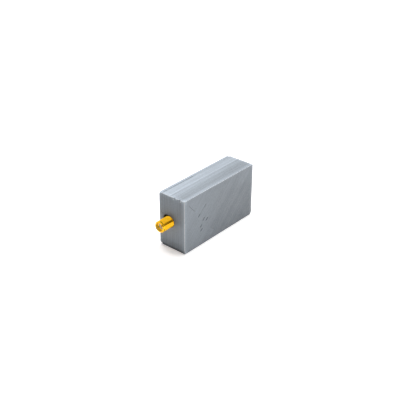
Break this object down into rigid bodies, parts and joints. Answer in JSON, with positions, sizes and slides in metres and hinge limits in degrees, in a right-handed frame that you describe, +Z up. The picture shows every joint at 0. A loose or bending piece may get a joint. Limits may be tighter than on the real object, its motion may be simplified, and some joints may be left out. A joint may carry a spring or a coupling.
{
  "type": "rf attenuator",
  "caption": "Small coaxial RF attenuator: a grey printed case with a press-on lid, a gold-plated threaded jack at each end and a board of chip resistors inside.",
  "frame": {"origin": "on the base, under the middle of the part", "axes": "+X from jack a to jack b, +Y from the front panel to the lid, +Z up"},
  "size_m": [0.07, 0.017, 0.0305],
  "materials": {
    "printed_case": "layered print",
    "gold_plate": "polished plating",
    "insulator": "satin",
    "board": "varnished",
    "solder": "bright",
    "chip": "satin"
  },
  "bodies": {
    "root": {"case_body": "printed_case", "case_lid": "printed_case", "circuit_board": "board", "jack_a_shell": "gold_plate", "jack_a_insulator": "insulator", "jack_a_contact": "gold_plate", "jack_a_solder": "solder", "jack_b_shell": "gold_plate", "jack_b_insulator": "insulator", "jack_b_contact": "gold_plate", "jack_b_solder": "solder", "series_resistor_1": "chip", "series_resistor_2": "chip", "series_resistor_3": "chip", "shunt_resistor_1_upper": "chip", "shunt_resistor_1_lower": "chip", "shunt_resistor_2_upper": "chip", "shunt_resistor_2_lower": "chip", "shunt_resistor_3_upper": "chip", "shunt_resistor_3_lower": "chip", "shunt_resistor_4_upper": "chip", "shunt_resistor_4_lower": "chip"}
  },
  "joints": []
}
